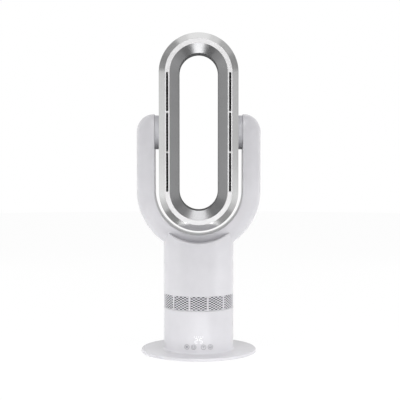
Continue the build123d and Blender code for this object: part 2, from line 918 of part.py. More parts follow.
def upper_body():
    top = loop_low_centre
    outer = post(column_radius, grille_top, top)
    outer -= post_y(saddle_radius, -2 * column_radius, 2 * column_radius, 0, loop_low_centre)
    rim = outer.edges().filter_by(lambda edge: edge.center().Z > bracket_low)
    outer = fillet(rim, saddle_edge_round)
    inner = post(shell_inner, grille_top, top)
    inner -= post_y(saddle_radius + shell_wall, -2 * column_radius, 2 * column_radius, 0, loop_low_centre)
    body = outer - inner
    for angle in bracket_boss_angles:
        x, y = on_circle(shell_inner - bracket_boss_inset, angle)
        boss = post(bracket_boss_radius, bracket_low - bracket_boss_height, bracket_low, x, y)
        body += boss & post(column_radius - shell_wall / 2, 0, loop_low_centre)
    body -= fork_envelope(-2 * part_gap)
    return body


def fork_bracket():
    plate = post(inner_fit_radius, bracket_low, bracket_low + bracket_thickness)
    half_x = fork_air_half_width
    plate -= block((-half_x, half_x), (-fork_air_half_depth, fork_air_half_depth), (0, loop_low_centre))
    half = cradle_width / 2
    for x, y in fork_screw_places():
        plate += block((x - half, x + half), (y - cradle_depth / 2, y + cradle_depth / 2),
                       (bracket_low, fork_screw_end))
    plate -= fork_envelope(-part_gap)
    plate &= post(inner_fit_radius, 0, loop_low_centre)
    for x, y in fork_screw_places():
        plate -= post(screw_radius + screw_clearance, 0, loop_low_centre, x, y)
    return plate


def fork_screws():
    length = fork_screw_end - bracket_low
    fixing = screw(screw_radius, screw_head_radius, screw_head_height, length)
    return Compound(children=[Pos(x, y, bracket_low) * fixing for x, y in fork_screw_places()])


def fork_shell(front):
    # One half of the fork, split at the middle of its depth.
    wall = fork_envelope(0, fork_edge_chamfer) - fork_envelope(fork_wall)
    core = fork_envelope(fork_wall / 2)
    depth = fork_half_depth + 1
    if front:
        half = (-depth, -part_gap / 2)
    else:
        half = (part_gap / 2, depth)
    for x, z in fork_joint_places():
        radius = screw_radius + boss_wall if front else loop_screw_boss_radius
        wall += post_y(radius, -fork_half_depth, fork_half_depth, x, z) & core
    for x, y in fork_screw_places():
        if (y < 0) == front:
            wall += post(screw_radius + boss_wall, bracket_low, fork_screw_top, x, y) & core
    wall &= block((-2 * column_radius, 2 * column_radius), half, (0, overall_height))
    for x, y in fork_screw_places():
        wall -= post(screw_radius + screw_clearance, 0, fork_screw_end + 1, x, y)
    for x, z in fork_joint_places():
        if front:
            wall -= post_y(screw_radius + screw_clearance, -fork_joint_reach - 1, 0, x, z)
        else:
            wall -= post_y(screw_radius + screw_clearance, 0, fork_joint_seat, x, z)
            wall -= post_y(screw_head_radius + head_room, fork_joint_seat, depth, x, z)
    air = fork_air_half_width
    wall -= block((-air, air), (-fork_air_half_depth, fork_air_half_depth),
                  (bracket_low, loop_low_centre - fork_inner - fork_side_wall - fork_bulge / 2))
    for opening in both_sides(post_x(bush_radius + part_gap, fork_inner - 1, fork_inner + fork_wall + 1)):
        wall -= opening
    return wall


def fork_joint_screws():
    length = fork_joint_seat + fork_joint_reach
    fixing = Rot(90, 0, 0) * screw(screw_radius, screw_head_radius, screw_head_height, length)
    return Compound(children=[Pos(x, fork_joint_seat, z) * fixing for x, z in fork_joint_places()])


def pivot_window(radius, half_angle, start, end):
    # A slice of the pivot's cross-section about straight up.
    shape = wedge(radius, -half_angle, half_angle, 0, end - start)
    return Pos(start, 0, pivot_height) * Rot(0, 90, 0) * Rot(0, 0, 180) * shape


def pivot_bush():
    wall_inside = fork_inner + fork_wall
    bush = tube_x(journal_radius + running_clearance, bush_radius, bush_start, bush_end)
    bush += tube_x(bush_radius - 1, bush_flange_radius, wall_inside, wall_inside + bush_flange_thickness)
    rim_start = wall_inside + bush_flange_thickness
    rim_end = journal_end + pivot_retainer_thickness
    rim = tube_x(pivot_rim_inner, pivot_rim_outer, rim_start, rim_end)
    play = tilt_limit + pivot_lug_half_angle + stop_play_angle
    first = pivot_window(pivot_rim_outer + 1, play / 2, rim_start, rim_end)
    lean = Pos(0, 0, pivot_height) * Rot(play / 2, 0, 0) * Pos(0, 0, -pivot_height)
    back = Pos(0, 0, pivot_height) * Rot(-play / 2, 0, 0) * Pos(0, 0, -pivot_height)
    return bush + (rim - lean * first - back * first)


def pivot_bushes():
    return Compound(children=both_sides(pivot_bush()))


def friction_rings():
    ring = tube_x(journal_radius + seat_gap, bush_radius, bush_end, bush_end + friction_thickness)
    return Compound(children=both_sides(ring))


def trunnion():
    cuff_end = fork_inner - cuff_gap
    body = post_x(neck_radius, loop_outer_radius - loop_wall - clamp_ring_thickness, loop_outer_radius)
    body += post_x(cuff_radius, loop_outer_radius, cuff_end)
    body += post_x(journal_radius, cuff_end, journal_end)
    return body - post_x(duct_radius, 0, 2 * column_radius)


def trunnion_left():
    return mirror(trunnion(), about=Plane.YZ)


def trunnion_clamps():
    end = loop_outer_radius - loop_wall
    ring = tube_x(neck_radius + part_gap, clamp_ring_radius, end - clamp_ring_thickness, end)
    return Compound(children=both_sides(ring))


def pivot_retainers():
    end = journal_end + pivot_retainer_thickness
    ring = tube_x(duct_radius, bush_radius, journal_end, end)
    lug = tube_x(bush_radius - 1, pivot_lug_radius, journal_end, end)
    ring += lug & pivot_window(pivot_lug_radius, pivot_lug_half_angle, journal_end, end)
    return Compound(children=both_sides(ring))


def loop_outer_bezel():
    back = outer_split
    return around_loop(flat_face([
        (outer_bevel_radius, loop_front), (loop_outer_radius, loop_front + outer_bevel_depth),
        (loop_outer_radius, back), (loop_outer_radius - trim_thickness, back),
        (outer_bevel_radius, trim_back),
    ]))


def slot_spans():
    # Three lengths of slot, kept apart by two bridges.
    piece = (loop_straight - 2 * slot_bridge) / 3
    starts = [loop_low_centre + index * (piece + slot_bridge) for index in range(3)]
    return [(start, start + piece) for start in starts]


def loop_face_panel():
    outer = outer_bevel_radius - part_gap
    inner = inner_bevel_radius + part_gap
    band = flat_face([(inner, loop_front), (outer, loop_front), (outer, trim_back), (inner, trim_back)])
    panel = around_loop(band)
    for x, z in loop_screw_places():
        panel += post_y(screw_radius + boss_wall, loop_front + trim_thickness / 2,
                        loop_screw_seat - loop_screw_floor, x, z)
        panel -= post_y(screw_radius + screw_clearance, trim_back, loop_screw_seat, x, z)
    half = slot_width / 2
    for low, high in slot_spans():
        for side in (-1, 1):
            centre = side * slot_centre
            panel -= block((centre - half, centre + half), (loop_front - 1, trim_back + 1), (low, high))
    return panel


def loop_inner_ring():
    lean = math.hypot(inner_bevel_radius - loop_hole_radius, inner_bevel_depth) / inner_bevel_depth
    shift = trim_thickness * lean
    bend = loop_front + inner_bevel_depth
    wall = loop_hole_radius + loop_wall
    slope = (inner_bevel_radius - loop_hole_radius) / inner_bevel_depth
    knee = bend - (wall - loop_hole_radius - shift) / slope
    return around_loop(flat_face([
        (inner_bevel_radius, loop_front), (loop_hole_radius, bend),
        (loop_hole_radius, loop_half_depth - rear_inner_round),
        (wall, loop_half_depth - rear_inner_round), (wall, knee),
        (inner_bevel_radius, loop_front + shift / slope),
    ]))


def loop_rear_shell():
    # Outer wall, rounded back and a rounded inner lip, as one channel.
    front = outer_split + part_gap
    back = loop_half_depth
    outer = loop_outer_radius
    hole = loop_hole_radius
    channel = flat_face([(hole, front), (outer, front), (outer, back), (hole, back)])
    corners = channel.vertices().group_by(Axis.Y)[-1].sort_by(Axis.X)
    channel = fillet(corners[1], rear_outer_round)
    corners = channel.vertices().group_by(Axis.X)[0].sort_by(Axis.Y)
    channel = fillet(corners[-1], rear_inner_round)
    inner = flat_face([
        (hole + loop_wall, front - 1), (outer - loop_wall, front - 1),
        (outer - loop_wall, back - loop_wall), (hole + loop_wall, back - loop_wall),
    ])
    corners = inner.vertices().group_by(Axis.Y)[-1].sort_by(Axis.X)
    inner = fillet(corners[1], rear_outer_round - loop_wall)
    corners = inner.vertices().group_by(Axis.X)[0].sort_by(Axis.Y)
    inner = fillet(corners[-1], rear_inner_round - loop_wall)
    lip = Pos(hole, (front + back - rear_inner_round) / 2) * Rectangle(
        2 * loop_wall + 2 * part_gap, back - rear_inner_round + part_gap - front)
    shell = around_loop(channel - inner - lip)
    for x, z in loop_screw_places():
        floor = loop_screw_seat - loop_screw_floor
        shell += post_y(loop_screw_boss_radius, floor, back - loop_wall / 2, x, z)
        shell -= post_y(screw_head_radius + head_room, loop_screw_seat, back + 1, x, z)
        shell -= post_y(screw_radius + screw_clearance, floor - 1, loop_screw_seat, x, z)
    for opening in both_sides(post_x(neck_radius + part_gap, loop_outer_radius - 2 * loop_wall,
                                     loop_outer_radius + 1)):
        shell -= opening
    return shell


def loop_screws():
    fixing = Rot(90, 0, 0) * screw(screw_radius, screw_head_radius, screw_head_height, loop_screw_length)
    return Compound(children=[Pos(x, loop_screw_seat, z) * fixing for x, z in loop_screw_places()])


def nozzle():
    # Two walls that close in from the heater to the slot, with bridges and thin ribs.
    low = loop_low_centre - nozzle_overrun
    high = loop_top_centre + nozzle_overrun
    near = slot_centre - slot_width / 2
    far = slot_centre + slot_width / 2
    wall = nozzle_wall
    inlet_near, inlet_far = nozzle_inlet
    outer = flat_face([(near - wall, trim_back), (far + wall, trim_back), (inlet_far + wall, nozzle_back),
                       (inlet_near - wall, nozzle_back)])
    inner = flat_face([(near, trim_back), (far, trim_back),
                       (inlet_far, nozzle_back), (inlet_near, nozzle_back)])
    body = Pos(0, 0, low) * extrude(outer, amount=high - low, dir=(0, 0, 1))
    duct = Pos(0, 0, loop_low_centre) * extrude(inner, amount=loop_straight, dir=(0, 0, 1))
    body -= duct
    spans = slot_spans()
    for lower, upper in zip(spans[:-1], spans[1:]):
        rib_back = trim_back + slot_rib_depth
        body += duct & block((0, 2 * column_radius), (trim_back, rib_back), (lower[1], upper[0]))
    for span_low, span_high in spans:
        middle = (span_low + span_high) / 2
        rib = block((0, column_radius + 20), (trim_back, trim_back + slot_rib_depth),
                    (middle - slot_rib_width / 2, middle + slot_rib_width / 2))
        body += duct & rib
    return body


def nozzle_left():
    return mirror(nozzle(), about=Plane.YZ)


def heater_core():
    # Three bars of heating elements crossed by a row of fins.
    near, far = heater_span
    front = nozzle_back + seat_gap
    back = front + heater_thickness
    low = pivot_height - heater_half_length
    high = pivot_height + heater_half_length
    step = (far - near - heater_bar_width) / 2
    bars = [block((near + index * step, near + index * step + heater_bar_width), (front, back), (low, high))
            for index in range(3)]
    count = int((high - low) // heater_fin_pitch)
    start = pivot_height - (count - 1) * heater_fin_pitch / 2
    core = bars[0] + bars[1:]
    fins = []
    for index in range(count):
        middle = start + index * heater_fin_pitch
        fins.append(block((near, far), (front + 1, back - 1),
                          (middle - heater_fin_thickness / 2, middle + heater_fin_thickness / 2)))
    return core + fins


def heater_cores():
    return Compound(children=both_sides(heater_core()))


def heater_frames():
    near, far = heater_span
    front = nozzle_back
    back = front + heater_thickness + 2 * seat_gap
    low = pivot_height - heater_half_length
    high = pivot_height + heater_half_length
    wall = heater_frame_wall
    frame = block((near - wall, far + wall), (front, back), (low - wall, high + wall))
    frame -= block((near - part_gap, far + part_gap), (front, back), (low - part_gap, high + part_gap))
    return Compound(children=both_sides(frame))


def thermal_cutouts():
    near, far = heater_span
    start = nozzle_back + heater_thickness + 2 * seat_gap
    disc = post_y(cutout_radius, start, start + cutout_height, (near + far) / 2,
                  pivot_height + heater_half_length + heater_frame_wall / 2)
    return Compound(children=both_sides(disc))


PARTS = {
    "base_disc": base_disc,
    "base_weight": base_weight,
    "rubber_feet": rubber_feet,
    "base_screws": base_screws,
    "lower_shell": lower_shell,
    "power_board": power_board,
    "board_components": board_components,
    "display_board": display_board,
    "key_switches": key_switches,
    "digit_lightbox": digit_lightbox,
    "digit_segments": digit_segments,
    "indicator_lights": indicator_lights,
    "cord_gland": cord_gland,
    "gland_nut": gland_nut,
    "cord_clamp": cord_clamp,
    "bearing_deck": bearing_deck,
    "small_screws": small_screws,
    "bearing_ring": bearing_ring,
    "swing_motor": swing_motor,
    "output_shaft": output_shaft,
    "drive_pinion": drive_pinion,
    "turntable": turntable,
    "ring_gear": ring_gear,
    "hub_retainer": hub_retainer,
    "intake_grille": intake_grille,
    "frame_posts": frame_posts,
    "inlet_ring": inlet_ring,
    "impeller_shroud": impeller_shroud,
    "motor_bucket": motor_bucket,
    "fan_motor": fan_motor,
    "air_seal": air_seal,
    "impeller": impeller,
    "motor_shaft": motor_shaft,
    "impeller_nut": impeller_nut,
    "upper_body": upper_body,
    "fork_bracket": fork_bracket,
    "fork_screws": fork_screws,
    "fork_front_shell": lambda: fork_shell(True),
    "fork_rear_shell": lambda: fork_shell(False),
    "fork_joint_screws": fork_joint_screws,
    "pivot_bushes": pivot_bushes,
    "friction_rings": friction_rings,
    "trunnion_right": trunnion,
    "trunnion_left": trunnion_left,
    "trunnion_clamps": trunnion_clamps,
    "pivot_retainers": pivot_retainers,
    "loop_outer_bezel": loop_outer_bezel,
    "loop_face_panel": loop_face_panel,
    "loop_inner_ring": loop_inner_ring,
    "loop_rear_shell": loop_rear_shell,
    "loop_screws": loop_screws,
    "nozzle_right": nozzle,
    "nozzle_left": nozzle_left,
    "heater_cores": heater_cores,
    "heater_frames": heater_frames,
    "thermal_cutouts": thermal_cutouts,
}

for name, x in zip(("key_mode", "key_timer", "key_swing", "key_power"), key_places):
    PARTS[name] = lambda x=x: key(x)

os.makedirs("parts", exist_ok=True)
for name, make in PARTS.items():
    export_step(make(), f"parts/{name}.step")
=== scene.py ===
import json
import math

import bmesh
import bpy
import numpy as np
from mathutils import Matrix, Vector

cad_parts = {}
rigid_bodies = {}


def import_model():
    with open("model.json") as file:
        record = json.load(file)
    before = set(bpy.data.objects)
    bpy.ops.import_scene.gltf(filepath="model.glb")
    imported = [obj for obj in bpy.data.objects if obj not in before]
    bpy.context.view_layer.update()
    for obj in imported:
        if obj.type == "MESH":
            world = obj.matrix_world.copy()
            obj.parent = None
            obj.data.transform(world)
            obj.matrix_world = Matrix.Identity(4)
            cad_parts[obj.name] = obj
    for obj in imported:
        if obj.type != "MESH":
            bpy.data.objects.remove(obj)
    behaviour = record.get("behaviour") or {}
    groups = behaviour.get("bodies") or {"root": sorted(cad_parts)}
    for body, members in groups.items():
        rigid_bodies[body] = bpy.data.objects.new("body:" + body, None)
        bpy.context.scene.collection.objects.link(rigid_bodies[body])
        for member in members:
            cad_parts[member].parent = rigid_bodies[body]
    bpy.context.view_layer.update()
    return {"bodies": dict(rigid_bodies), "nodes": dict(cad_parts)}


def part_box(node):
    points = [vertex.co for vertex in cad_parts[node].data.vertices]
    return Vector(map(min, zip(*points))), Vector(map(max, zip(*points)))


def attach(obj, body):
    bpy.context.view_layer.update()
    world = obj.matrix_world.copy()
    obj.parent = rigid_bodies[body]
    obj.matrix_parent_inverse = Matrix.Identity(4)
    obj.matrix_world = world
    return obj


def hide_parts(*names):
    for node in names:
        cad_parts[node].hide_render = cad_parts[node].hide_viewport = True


bl_info = {
    "name": "Tower Fan Heater",
    "version": (1, 0, 0),
    "blender": (4, 5, 0),
    "location": "3D View > Sidebar > Heater",
    "description": "Dresses the framed tower fan heater with its finishes, printed marks and studio",
    "category": "Add Mesh",
}

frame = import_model()
MM = 0.001

# Sizes read from the frame
LOWER_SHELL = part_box("lower_shell")
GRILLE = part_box("intake_grille")
KEY_NODES = ("key_mode", "key_timer", "key_swing", "key_power")
COLUMN_RADIUS = GRILLE[1][0]

# The photograph's view: eye, aim and lens, in metres and degrees
EYE = (0.0034, -2.653, 0.512)
PITCH_DOWN = 2.771
PHOTO_WIDTH = 400
FOCAL_PIXELS = 1051.2
SENSOR_MM = 36.0


def linear(hex_colour):
    """Turns an sRGB hex colour into the linear values that shaders take."""
    parts = [int(hex_colour[i:i + 2], 16) / 255 for i in (0, 2, 4)]
    return tuple(c / 12.92 if c <= 0.04045 else ((c + 0.055) / 1.055) ** 2.4 for c in parts)


class HeaterSettings(bpy.types.PropertyGroup):
    """Sizes and colours of the heater's finish that a user may want to change."""

    lacquer: bpy.props.FloatVectorProperty(
        name="Lacquer", description="Pale silver lacquer of the column and fork", subtype="COLOR",
        size=3, min=0, max=1, default=linear("c5c4c8"))
    bezel: bpy.props.FloatVectorProperty(
        name="Outer bezel", description="Silver of the loop's outer bevel", subtype="COLOR",
        size=3, min=0, max=1, default=linear("cecece"))
    face: bpy.props.FloatVectorProperty(
        name="Face band", description="Pale band that holds the two slots", subtype="COLOR",
        size=3, min=0, max=1, default=linear("e3e2e3"))
    chrome: bpy.props.FloatVectorProperty(
        name="Inner bevel", description="Dark plating inside the loop", subtype="COLOR",
        size=3, min=0, max=1, default=linear("8e8e8f"))
    mark: bpy.props.FloatVectorProperty(
        name="Key marks", description="Grey ink of the printed key marks", subtype="COLOR",
        size=3, min=0, max=1, default=linear("707076"))
    grille_colour: bpy.props.FloatVectorProperty(
        name="Grille", description="Colour of the perforated intake band", subtype="COLOR",
        size=3, min=0, max=1, default=linear("cacace"))
    hole_height: bpy.props.FloatProperty(
        name="Hole height", description="Height of one intake hole", unit="LENGTH",
        min=0.0005, max=0.005, default=3.4 * MM)
    hole_width: bpy.props.FloatProperty(
        name="Hole width", description="Width of one intake hole", unit="LENGTH",
        min=0.001, max=0.012, default=7.4 * MM)
    line_width: bpy.props.FloatProperty(
        name="Mark line", description="Width of the printed lines on the keys", unit="LENGTH",
        min=0.0001, max=0.002, default=0.9 * MM)
    light_level: bpy.props.FloatProperty(
        name="Light level", description="Scales the studio lamps", min=0, max=4, default=1.0)


def settings():
    return bpy.context.scene.heater


def node(tree, kind, values=None, links=None, **attributes):
    """Adds one shader node, sets its attributes and sockets, and links its inputs."""
    made = tree.nodes.new(kind)
    for key, value in attributes.items():
        setattr(made, key, value)
    for key, value in (values or {}).items():
        made.inputs[key].default_value = value
    for key, source in (links or {}).items():
        tree.links.new(source, made.inputs[key])
    return made


def opaque(colour):
    return (*colour, 1.0)


# A skin's colour drifts over this length; its roughness drifts by this share, with the fine grain
DRIFT_LENGTH = 60 * MM
ROUGHNESS_DRIFT = 0.15
RELIEF_STRENGTH = 0.5


def surface(name, colour, roughness, grain_mm, grain_depth_mm, metallic=0.0, ior=1.5, coat=0.0,
            coat_roughness=0.1, spread=0.04, stretch=(1, 1, 1)):
    """A moulded, lacquered or plated skin: a little colour drift, roughness drift and fine relief.

    Two noises on Object coordinates. The broad one drifts the colour, as a real coat drifts over
    centimetres. The fine one has the grain's size in millimetres, drifts the roughness and lifts the surface.
    """
    material = bpy.data.materials.new(name)
    material.use_nodes = True
    tree = material.node_tree
    tree.nodes.clear()
    place = node(tree, "ShaderNodeTexCoord")
    fitted = node(tree, "ShaderNodeMapping", {"Scale": stretch}, {"Vector": place.outputs["Object"]})
    broad = node(tree, "ShaderNodeTexNoise", {"Scale": 1 / DRIFT_LENGTH, "Detail": 3.0},
                 {"Vector": place.outputs["Object"]})
    fine = node(tree, "ShaderNodeTexNoise", {"Scale": 1 / (grain_mm * MM), "Detail": 2.0},
                {"Vector": fitted.outputs["Vector"]})
    light = tuple(min(1.0, c * (1 + spread)) for c in colour)
    dark = tuple(c * (1 - spread) for c in colour)
    tint = tree.nodes.new("ShaderNodeValToRGB")
    tint.color_ramp.elements[0].position = 0.3
    tint.color_ramp.elements[0].color = opaque(dark)
    tint.color_ramp.elements[1].position = 0.7
    tint.color_ramp.elements[1].color = opaque(light)
    tree.links.new(broad.outputs["Fac"], tint.inputs["Fac"])
    rough = node(tree, "ShaderNodeMapRange",
                 {"To Min": roughness * (1 - ROUGHNESS_DRIFT),
                  "To Max": min(1.0, roughness * (1 + ROUGHNESS_DRIFT))},
                 {"Value": fine.outputs["Fac"]})
    relief = node(tree, "ShaderNodeBump", {"Strength": RELIEF_STRENGTH, "Distance": grain_depth_mm * MM},
                  {"Height": fine.outputs["Fac"]})
    shader = node(tree, "ShaderNodeBsdfPrincipled",
                  {"Metallic": metallic, "IOR": ior, "Coat Weight": coat, "Coat Roughness": coat_roughness},
                  {"Base Color": tint.outputs["Color"], "Roughness": rough.outputs["Result"],
                   "Normal": relief.outputs["Normal"]})
    node(tree, "ShaderNodeOutputMaterial", None, {"Surface": shader.outputs["BSDF"]})
    return material


def lacquered_abs():
    # Silver pearl lacquer sprayed on moulded ABS: satin, with a faint orange peel.
    return surface("lacquered_abs", settings().lacquer, 0.38, 1.6, 0.012, coat=0.5, coat_roughness=0.22)


def moulded_abs():
    # Plain moulded ABS of inner covers, with a fine spark texture.
    return surface("moulded_abs", linear("c9c9cc"), 0.55, 0.8, 0.02)


def rear_lacquer():
    # The loop's housing in the column's lacquer, a little more matt.
    return surface("rear_lacquer", linear("c7c6ca"), 0.42, 1.4, 0.012, coat=0.15, coat_roughness=0.3)


def bezel_silver():
    # Satin silver plating over ABS, brushed round the loop.
    return surface("bezel_silver", settings().bezel, 0.18, 0.7, 0.003, metallic=1.0, spread=0.02)


def face_silver():
    # Pale satin face, finer and brighter than the bezel.
    return surface("face_silver", settings().face, 0.32, 0.9, 0.005, metallic=0.15, coat=0.3)


def dark_plating():
    # Dark nickel plating on ABS: mirror-like but softened by the moulding beneath.
    return surface("dark_plating", settings().chrome, 0.24, 2.4, 0.010, metallic=1.0, spread=0.03)


def satin_aluminium():
    # Bead-blasted and painted aluminium of the pivot cuffs.
    return surface("satin_aluminium", linear("c4c4c8"), 0.6, 0.5, 0.010)


def duct_abs():
    # Near-black moulded ABS of the fan's ducts.
    return surface("duct_abs", linear("19191a"), 0.7, 0.8, 0.02)


def filter_cloth():
    # Grey polyester dust cloth behind the intake holes.
    return surface("filter_cloth", linear("4c4c50"), 0.9, 0.4, 0.03, ior=1.1)


def hole_shade_grey():
    # Matt grey of the wall inside the loop's hole, darker than the loop's shell: painted shade of the deep
    # hole.
    return surface("hole_shade_grey", linear("6e6e6f"), 0.85, 0.6, 0.01, ior=1.05)


def grille_abs():
    # Moulded ABS of the perforated band, matt from its texture.
    return surface("grille_abs", settings().grille_colour, 0.5, 0.6, 0.015)


def slot_shade_black():
    # Black nylon of the nozzles, darkened almost to pure black: partly the nozzles' own black, partly painted
    # shade of the slots' deep throat.
    return surface("slot_shade_black", linear("060606"), 0.8, 0.6, 0.02, ior=1.03)


def acetal():
    # Natural acetal of bushes and gears: waxy, slightly warm white.
    return surface("acetal", linear("e9e6df"), 0.4, 1.0, 0.01)


def zinc_steel():
    # Zinc plated steel: bright grey metal with a fine crystal mottle.
    return surface("zinc_steel", linear("a9abad"), 0.32, 0.9, 0.012, metallic=1.0)


def pressed_steel():
    # Galvanised motor cans, rolled and pressed.
    return surface("pressed_steel", linear("97999c"), 0.4, 2.2, 0.02, metallic=1.0, stretch=(1, 1, 6))


def soft_rubber():
    # Moulded grey rubber: matt with a dusty grain.
    return surface("soft_rubber", linear("4c4c4f"), 0.8, 0.5, 0.03)


def circuit_laminate():
    # Glass laminate under green solder mask.
    return surface("circuit_laminate", linear("1e5a34"), 0.35, 0.8, 0.01)


def component_resin():
    # Black epoxy and polyester cases.
    return surface("component_resin", linear("222225"), 0.45, 0.8, 0.02)


def diffuser_plastic():
    # Milky acrylic of light pipes and lit segments.
    return surface("diffuser_plastic", linear("f3f3f5"), 0.3, 1.2, 0.005)


def glass_nylon():
    # Glass-filled nylon of the impeller: dark grey with fibre mottle.
    return surface("glass_nylon", linear("3c3c40"), 0.5, 0.7, 0.02)


def heater_fins():
    # Corrugated aluminium between ceramic heating bars.
    return surface("heater_fins", linear("2c2b29"), 0.6, 1.5, 0.02, metallic=0.5)


def printed_ink():
    # Grey screen-printed ink, matt on the satin keys.
    return surface("printed_ink", settings().mark, 0.6, 0.5, 0.003)


def lit_film():
    # Where the display's light comes through the thinned wall: a soft white glow.
    material = surface("lit_film", linear("f6f6f8"), 0.4, 0.8, 0.002)
    shader = next(n for n in material.node_tree.nodes if n.type == "BSDF_PRINCIPLED")
    shader.inputs["Emission Color"].default_value = opaque(linear("ffffff"))
    shader.inputs["Emission Strength"].default_value = 0.05
    return material


FINISHES = {
    lacquered_abs: ("lower_shell", "upper_body", "fork_front_shell", "fork_rear_shell", "base_disc",
                    *KEY_NODES),
    moulded_abs: ("turntable", "bearing_deck", "cord_clamp", "digit_lightbox", "fork_bracket"),
    duct_abs: ("inlet_ring", "frame_posts", "impeller_shroud", "motor_bucket"),
    rear_lacquer: ("loop_rear_shell",),
    bezel_silver: ("loop_outer_bezel",),
    face_silver: ("loop_face_panel",),
    dark_plating: ("loop_inner_ring",),
    satin_aluminium: ("trunnion_right", "trunnion_left"),
    grille_abs: ("intake_grille",),
    # Nozzles and heater frames in near-black: partly painted shade of the slots' throat
    slot_shade_black: ("nozzle_right", "nozzle_left", "heater_frames"),
    acetal: ("bearing_ring", "pivot_bushes", "drive_pinion", "ring_gear", "hub_retainer", "trunnion_clamps",
             "pivot_retainers", "friction_rings"),
    zinc_steel: ("base_weight", "base_screws", "small_screws", "fork_screws", "fork_joint_screws",
                 "loop_screws", "output_shaft", "motor_shaft", "impeller_nut", "gland_nut"),
    pressed_steel: ("swing_motor", "fan_motor", "thermal_cutouts"),
    soft_rubber: ("rubber_feet", "cord_gland", "air_seal"),
    circuit_laminate: ("power_board", "display_board"),
    component_resin: ("board_components", "key_switches"),
    diffuser_plastic: ("digit_segments", "indicator_lights"),
    glass_nylon: ("impeller",),
    heater_fins: ("heater_cores",),
}


def finish_of(make):
    """The material that a finish function makes, made once."""
    known = bpy.data.materials.get(make.__name__)
    return known or make()


def piece(name, points, faces, make, body, slot_name, smooth=True):
    """A new object from a point array and a face array, riding on a body with its finish."""
    mesh = bpy.data.meshes.new(name)
    mesh.from_pydata(np.asarray(points, float).reshape(-1, 3).tolist(), [], np.asarray(faces).tolist())
    mesh.update()
    mesh.polygons.foreach_set("use_smooth", np.full(len(mesh.polygons), smooth))
    mesh.materials.append(finish_of(make))
    made = bpy.data.objects.new(name, mesh)
    bpy.context.scene.collection.objects.link(made)
    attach(made, body)
    return made


def grid_faces(rows, columns, wrap_columns=False, wrap_rows=False):
    """Quads of a grid whose points run row by row, wrapped where a direction closes."""
    last_row = rows if wrap_rows else rows - 1
    last_column = columns if wrap_columns else columns - 1
    r, c = np.meshgrid(np.arange(last_row), np.arange(last_column), indexing="ij")
    r2 = (r + 1) % rows
    c2 = (c + 1) % columns
    quads = np.stack([r * columns + c, r * columns + c2, r2 * columns + c2, r2 * columns + c], axis=-1)
    return quads.reshape(-1, 4)


def turned(profile, steps=144):
    """A closed profile of radius and height turned about Z: (r cos a, r sin a, z) for each angle a."""
    profile = np.asarray(profile, float)
    angle = np.linspace(0, 2 * math.pi, steps, endpoint=False)[:, None]
    r = profile[:, 0][None, :]
    z = np.broadcast_to(profile[:, 1][None, :], (steps, len(profile)))
    points = np.stack([r * np.cos(angle), r * np.sin(angle), z], axis=-1)
    faces = grid_faces(steps, len(profile), wrap_columns=True, wrap_rows=True)
    return points.reshape(-1, 3), faces[:, ::-1]


def hoop(inner, outer, low, high):
    """A ring of rectangular section between two radii and two heights."""
    return turned([(inner, low), (outer, low), (outer, high), (inner, high)])


def on_column(x, z, radius):
    """Lays flat x and z on the front of the column: y is minus the root of radius squared less x squared."""
    return np.stack([x, -np.sqrt(radius ** 2 - x ** 2), z], axis=-1)


def stroke(path, width, closed=False):
    """A flat line of constant width along a path: each point moves half the width along its normal."""
    path = np.asarray(path, float)
    if closed:
        along = np.roll(path, -1, axis=0) - np.roll(path, 1, axis=0)
    else:
        along = np.gradient(path, axis=0)
    along /= np.linalg.norm(along, axis=1)[:, None]
    normal = np.stack([-along[:, 1], along[:, 0]], axis=1) * width / 2
    both = np.stack([path + normal, path - normal], axis=1)
    faces = grid_faces(len(path), 2, wrap_rows=closed)
    return both.reshape(-1, 2), faces


def arc(radius, start, end, steps=40, centre=(0, 0)):
    """Points on a circle from one angle to another, in degrees."""
    a = np.radians(np.linspace(start, end, steps))
    return np.stack([centre[0] + radius * np.cos(a), centre[1] + radius * np.sin(a)], axis=1)


def segment(first, last, steps=6):
    return np.linspace(first, last, steps)


def joined(parts):
    """Joins point and face arrays into one pair."""
    points = []
    faces = []
    count = 0
    for part_points, part_faces in parts:
        points.append(part_points)
        faces.append(part_faces + count)
        count += len(part_points)
    return np.concatenate(points), np.concatenate(faces)


def film(name, parts, centre, radius, thickness, make, body, slot_name):
    """Thin printed or lit shapes on the column's front, given a real thickness."""
    flat, faces = joined(parts)
    points = on_column(flat[:, 0] + centre[0], flat[:, 1] + centre[1], radius)
    made = piece(name, points, faces, make, body, slot_name)
    solid = made.modifiers.new("thickness", "SOLIDIFY")
    solid.thickness = thickness
    solid.offset = 0
    return made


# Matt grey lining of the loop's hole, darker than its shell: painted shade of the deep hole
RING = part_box("loop_inner_ring")
HOLE_RADIUS = 49.0 * MM
LINING_GAP = 0.05 * MM
LOOP_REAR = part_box("loop_rear_shell")[1][1]
REAR_ROUND = 8.5 * MM
BEVEL_DEPTH = 17.1 * MM
LINING_STEPS = 12
LOOP_ENDS = (RING[0][2] + RING[1][0], RING[1][2] - RING[1][0])

# Shells that show as merged copies, so that their curves shade smoothly
SHELLS = (
    "base_disc", "lower_shell", "cord_gland", "rubber_feet", "turntable", "upper_body", "fork_front_shell",
    "fork_rear_shell", "trunnion_right", "trunnion_left", "loop_outer_bezel", "loop_face_panel",
    "loop_inner_ring", "loop_rear_shell", "nozzle_right", "nozzle_left", *KEY_NODES)
CREASE_DEGREES = 28
# The face panel shows its slots a little wider than the nozzles behind it, whose rims are black
SLOT_MIDDLE = 77.75 * MM
SLOT_WIDTH = 4.3 * MM
SLOT_REVEAL = 0.5 * MM
SLOT_EDGE_REACH = 0.02 * MM
SLOT_END_REACH = 0.1 * MM
MERGE = 0.002 * MM


def body_name(name):
    """The CAD body that a node belongs to."""
    holder = frame["nodes"][name].parent
    return next(body for body, empty in frame["bodies"].items() if empty == holder)


